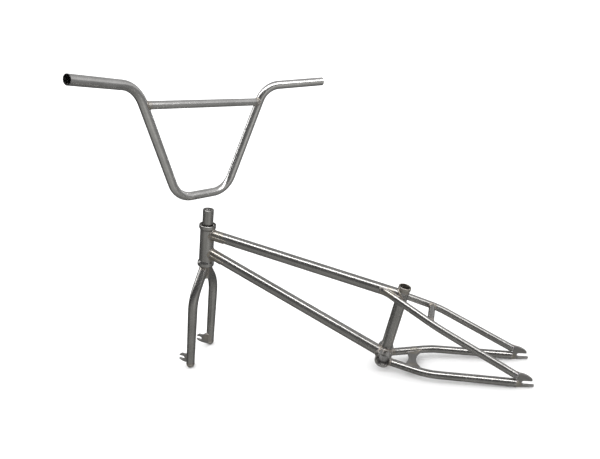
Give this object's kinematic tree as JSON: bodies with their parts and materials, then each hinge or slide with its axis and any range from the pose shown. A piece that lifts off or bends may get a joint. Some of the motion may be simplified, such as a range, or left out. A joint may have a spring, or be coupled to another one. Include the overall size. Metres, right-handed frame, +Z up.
{
  "type": "bmx bike frameset with handlebar",
  "caption": "Bare welded steel BMX frame with a rigid fork that turns in its head tube, and a braced handlebar set apart above the steerer, without wheels or drivetrain.",
  "frame": {"origin": "centre of the bottom bracket shell", "axes": "+X forward to the fork, +Y to the rider's left along the bottom bracket, +Z up"},
  "size_m": [0.9323, 0.6584, 0.8127],
  "materials": {
    "raw_tube": "raw drawn steel tube under clear coat",
    "turned_steel": "turned raw steel under clear coat",
    "plate_steel": "laser-cut raw steel plate under clear coat",
    "bar_tube": "raw drawn steel tube under clear coat"
  },
  "bodies": {
    "frame": {"head_tube": "turned_steel", "top_tube": "raw_tube", "down_tube": "raw_tube", "top_tube_gusset": "plate_steel", "down_tube_gusset": "plate_steel", "seat_tube": "raw_tube", "seat_collar": "turned_steel", "bottom_bracket_shell": "turned_steel", "left_chainstay": "raw_tube", "right_chainstay": "raw_tube", "left_seatstay": "raw_tube", "right_seatstay": "raw_tube", "left_rear_dropout": "plate_steel", "right_rear_dropout": "plate_steel", "chainstay_bridge": "plate_steel", "seatstay_bridge": "raw_tube"},
    "fork": {"steerer_tube": "raw_tube", "crown_race": "turned_steel", "left_fork_leg": "raw_tube", "right_fork_leg": "raw_tube", "left_leg_cap": "turned_steel", "right_leg_cap": "turned_steel", "left_fork_dropout": "plate_steel", "right_fork_dropout": "plate_steel"},
    "handlebar": {"handlebar_tube": "bar_tube", "crossbar": "bar_tube"}
  },
  "joints": [
    {"name": "steering", "type": "hinge", "parent": "frame", "child": "fork", "pos_m": [0.4688, 0, 0.2556], "axis": [-0.2538, 0, 0.9673], "continuous": true},
    {"name": "handlebar_lift", "type": "slide", "parent": "fork", "child": "handlebar", "axis": [-0.2538, 0, 0.9673], "range_m": [0, 0.15]}
  ]
}
